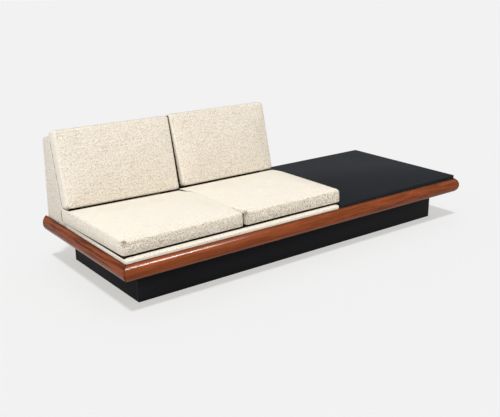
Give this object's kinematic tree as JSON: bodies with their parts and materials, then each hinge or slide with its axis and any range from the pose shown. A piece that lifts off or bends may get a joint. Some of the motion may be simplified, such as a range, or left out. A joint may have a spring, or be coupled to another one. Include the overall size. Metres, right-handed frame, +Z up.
{
  "type": "platform sofa",
  "caption": "Low platform sofa: wood-edged platform on a recessed plinth, loose seat and back cushions against a wedge back at one end and a flat table at the other.",
  "frame": {"origin": "on the floor, under the middle of the platform", "axes": "+X along the platform towards the table, -Y towards the front where a person sits, +Z up"},
  "size_m": [2.184, 0.84, 0.679],
  "materials": {
    "walnut": "satin",
    "black_paint": "matte",
    "plywood": "matte",
    "black_laminate": "matte",
    "zinc_steel": "satin",
    "oatmeal_tweed": "matte",
    "foam": "matte",
    "nylon_zip": "satin"
  },
  "bodies": {
    "platform": {"front_rail": "walnut", "left_rail": "walnut", "right_rail": "walnut", "rear_rail": "walnut", "plinth_front": "black_paint", "plinth_rear": "black_paint", "plinth_left": "black_paint", "plinth_right": "black_paint", "plinth_corner_block_1": "plywood", "plinth_corner_block_2": "plywood", "plinth_corner_block_3": "plywood", "plinth_corner_block_4": "plywood", "plinth_brace_1": "plywood", "plinth_brace_2": "plywood", "bearer_1": "plywood", "bearer_2": "plywood", "bearer_3": "plywood", "bearer_4": "plywood", "platform_panel": "plywood", "deck_board": "plywood", "table_batten_front": "plywood", "table_batten_rear": "plywood", "table_core": "plywood", "back_base_board": "plywood", "back_top_rail": "plywood", "back_front_panel": "plywood", "back_rear_panel": "plywood", "back_rib_left": "plywood", "back_rib_middle": "plywood", "back_rib_right": "plywood", "table_laminate": "black_laminate", "table_edge_front": "black_laminate", "table_edge_rear": "black_laminate", "table_edge_left": "black_laminate", "table_edge_right": "black_laminate", "back_bolt_1": "zinc_steel", "back_bolt_2": "zinc_steel", "back_bolt_3": "zinc_steel", "back_nut_1": "zinc_steel", "back_nut_2": "zinc_steel", "back_nut_3": "zinc_steel", "deck_cover": "oatmeal_tweed", "back_wrap": "oatmeal_tweed", "back_end_left": "oatmeal_tweed", "back_end_right": "oatmeal_tweed", "deck_foam": "foam", "back_front_foam": "foam"},
    "seat_left": {"seat_left_cover": "oatmeal_tweed", "seat_left_core": "foam", "seat_left_zip": "nylon_zip"},
    "back_left": {"back_left_cover": "oatmeal_tweed", "back_left_core": "foam", "back_left_zip": "nylon_zip"},
    "seat_right": {"seat_right_cover": "oatmeal_tweed", "seat_right_core": "foam", "seat_right_zip": "nylon_zip"},
    "back_right": {"back_right_cover": "oatmeal_tweed", "back_right_core": "foam", "back_right_zip": "nylon_zip"}
  },
  "joints": [
    {"name": "seat_left_lift", "type": "slide", "parent": "platform", "child": "seat_left", "axis": [0, 0, 1], "range_m": [0, 0.45]},
    {"name": "back_left_lift", "type": "slide", "parent": "seat_left", "child": "back_left", "axis": [0, 0, 1], "range_m": [0, 0.4]},
    {"name": "seat_right_lift", "type": "slide", "parent": "platform", "child": "seat_right", "axis": [0, 0, 1], "range_m": [0, 0.45]},
    {"name": "back_right_lift", "type": "slide", "parent": "seat_right", "child": "back_right", "axis": [0, 0, 1], "range_m": [0, 0.4]}
  ]
}
